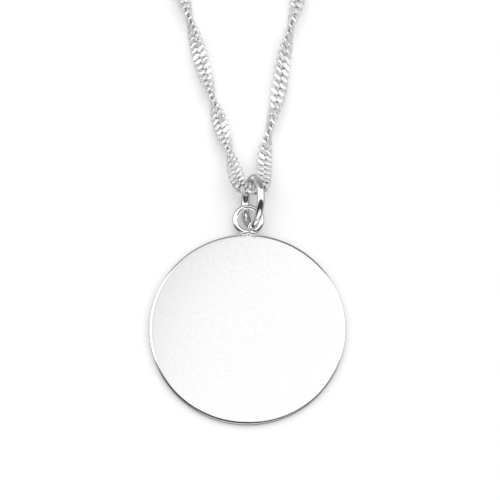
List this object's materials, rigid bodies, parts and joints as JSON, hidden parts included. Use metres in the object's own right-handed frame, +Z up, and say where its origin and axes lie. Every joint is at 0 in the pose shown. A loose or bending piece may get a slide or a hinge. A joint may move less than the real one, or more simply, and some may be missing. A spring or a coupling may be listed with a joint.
{
  "type": "disc pendant necklace",
  "caption": "Necklace of a plain round disc for engraving, on a soldered ring, a jump ring and a fine twisted chain with a spring ring clasp, lying in a closed loop.",
  "frame": {"origin": "on the surface that the necklace lies on, under the middle of the whole loop's box", "axes": "+Z up, +Y from the pendant towards the clasp, +X to the right as the disc is looked at"},
  "size_m": [0.0768, 0.231, 0.0066],
  "materials": {
    "polished_silver": "polished, with very faint brushing",
    "ring_silver": "polished round wire",
    "chain_silver": "bright, diamond-cut facets",
    "clasp_silver": "polished"
  },
  "bodies": {
    "root": {"pendant_disc": "polished_silver", "jump_ring": "ring_silver", "chain": "chain_silver", "clasp": "clasp_silver", "eye_ring": "ring_silver", "catch_ring": "ring_silver"}
  },
  "joints": []
}
